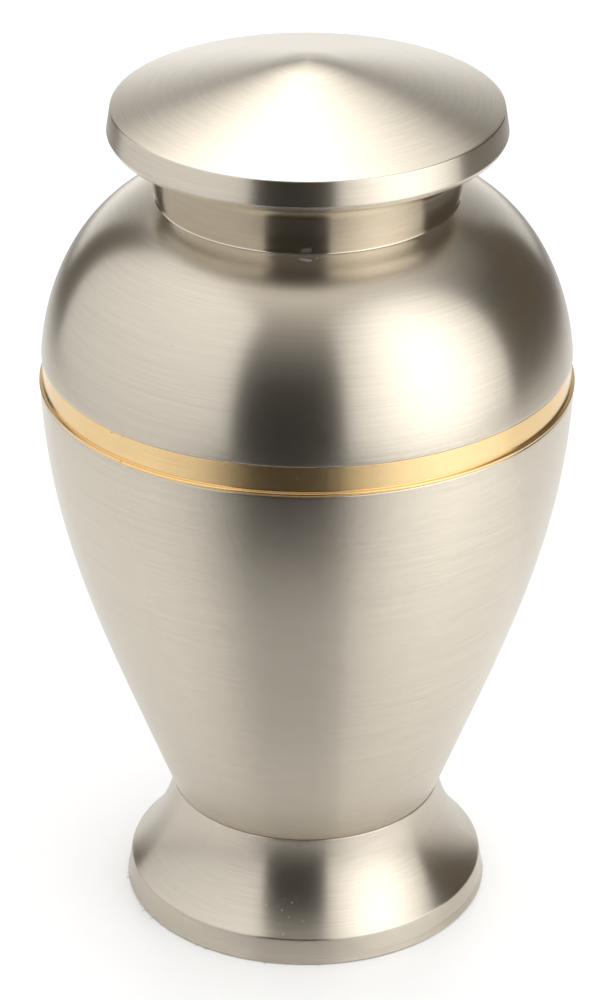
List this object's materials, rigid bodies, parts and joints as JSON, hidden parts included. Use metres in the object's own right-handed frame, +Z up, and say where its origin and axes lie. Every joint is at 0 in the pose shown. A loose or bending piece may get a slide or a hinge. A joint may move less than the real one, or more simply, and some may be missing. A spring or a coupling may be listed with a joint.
{
  "type": "cremation urn",
  "caption": "Lidded metal urn with a tapered body, domed shoulder, brass band, short flared neck, shallow conical lift-off lid and flared foot with felt below.",
  "frame": {"origin": "centre of the underside, on the surface the urn stands on", "axes": "+Z up along the axis of the turned body; X and Y are alike"},
  "size_m": [0.152, 0.152, 0.2602],
  "materials": {
    "brown_felt": "dense brown felt, fuzzy at its edge",
    "brushed_pewter": "spun brass with a pewter-coloured plating, brushed round the axis to a satin",
    "satin_brass": "bare brass, satin, lacquered"
  },
  "bodies": {
    "root": {"felt_pad": "brown_felt", "foot": "brushed_pewter", "lower_shell": "brushed_pewter", "brass_band": "satin_brass", "shoulder_shell": "brushed_pewter", "neck_ring": "brushed_pewter", "lid": "brushed_pewter"}
  },
  "joints": []
}
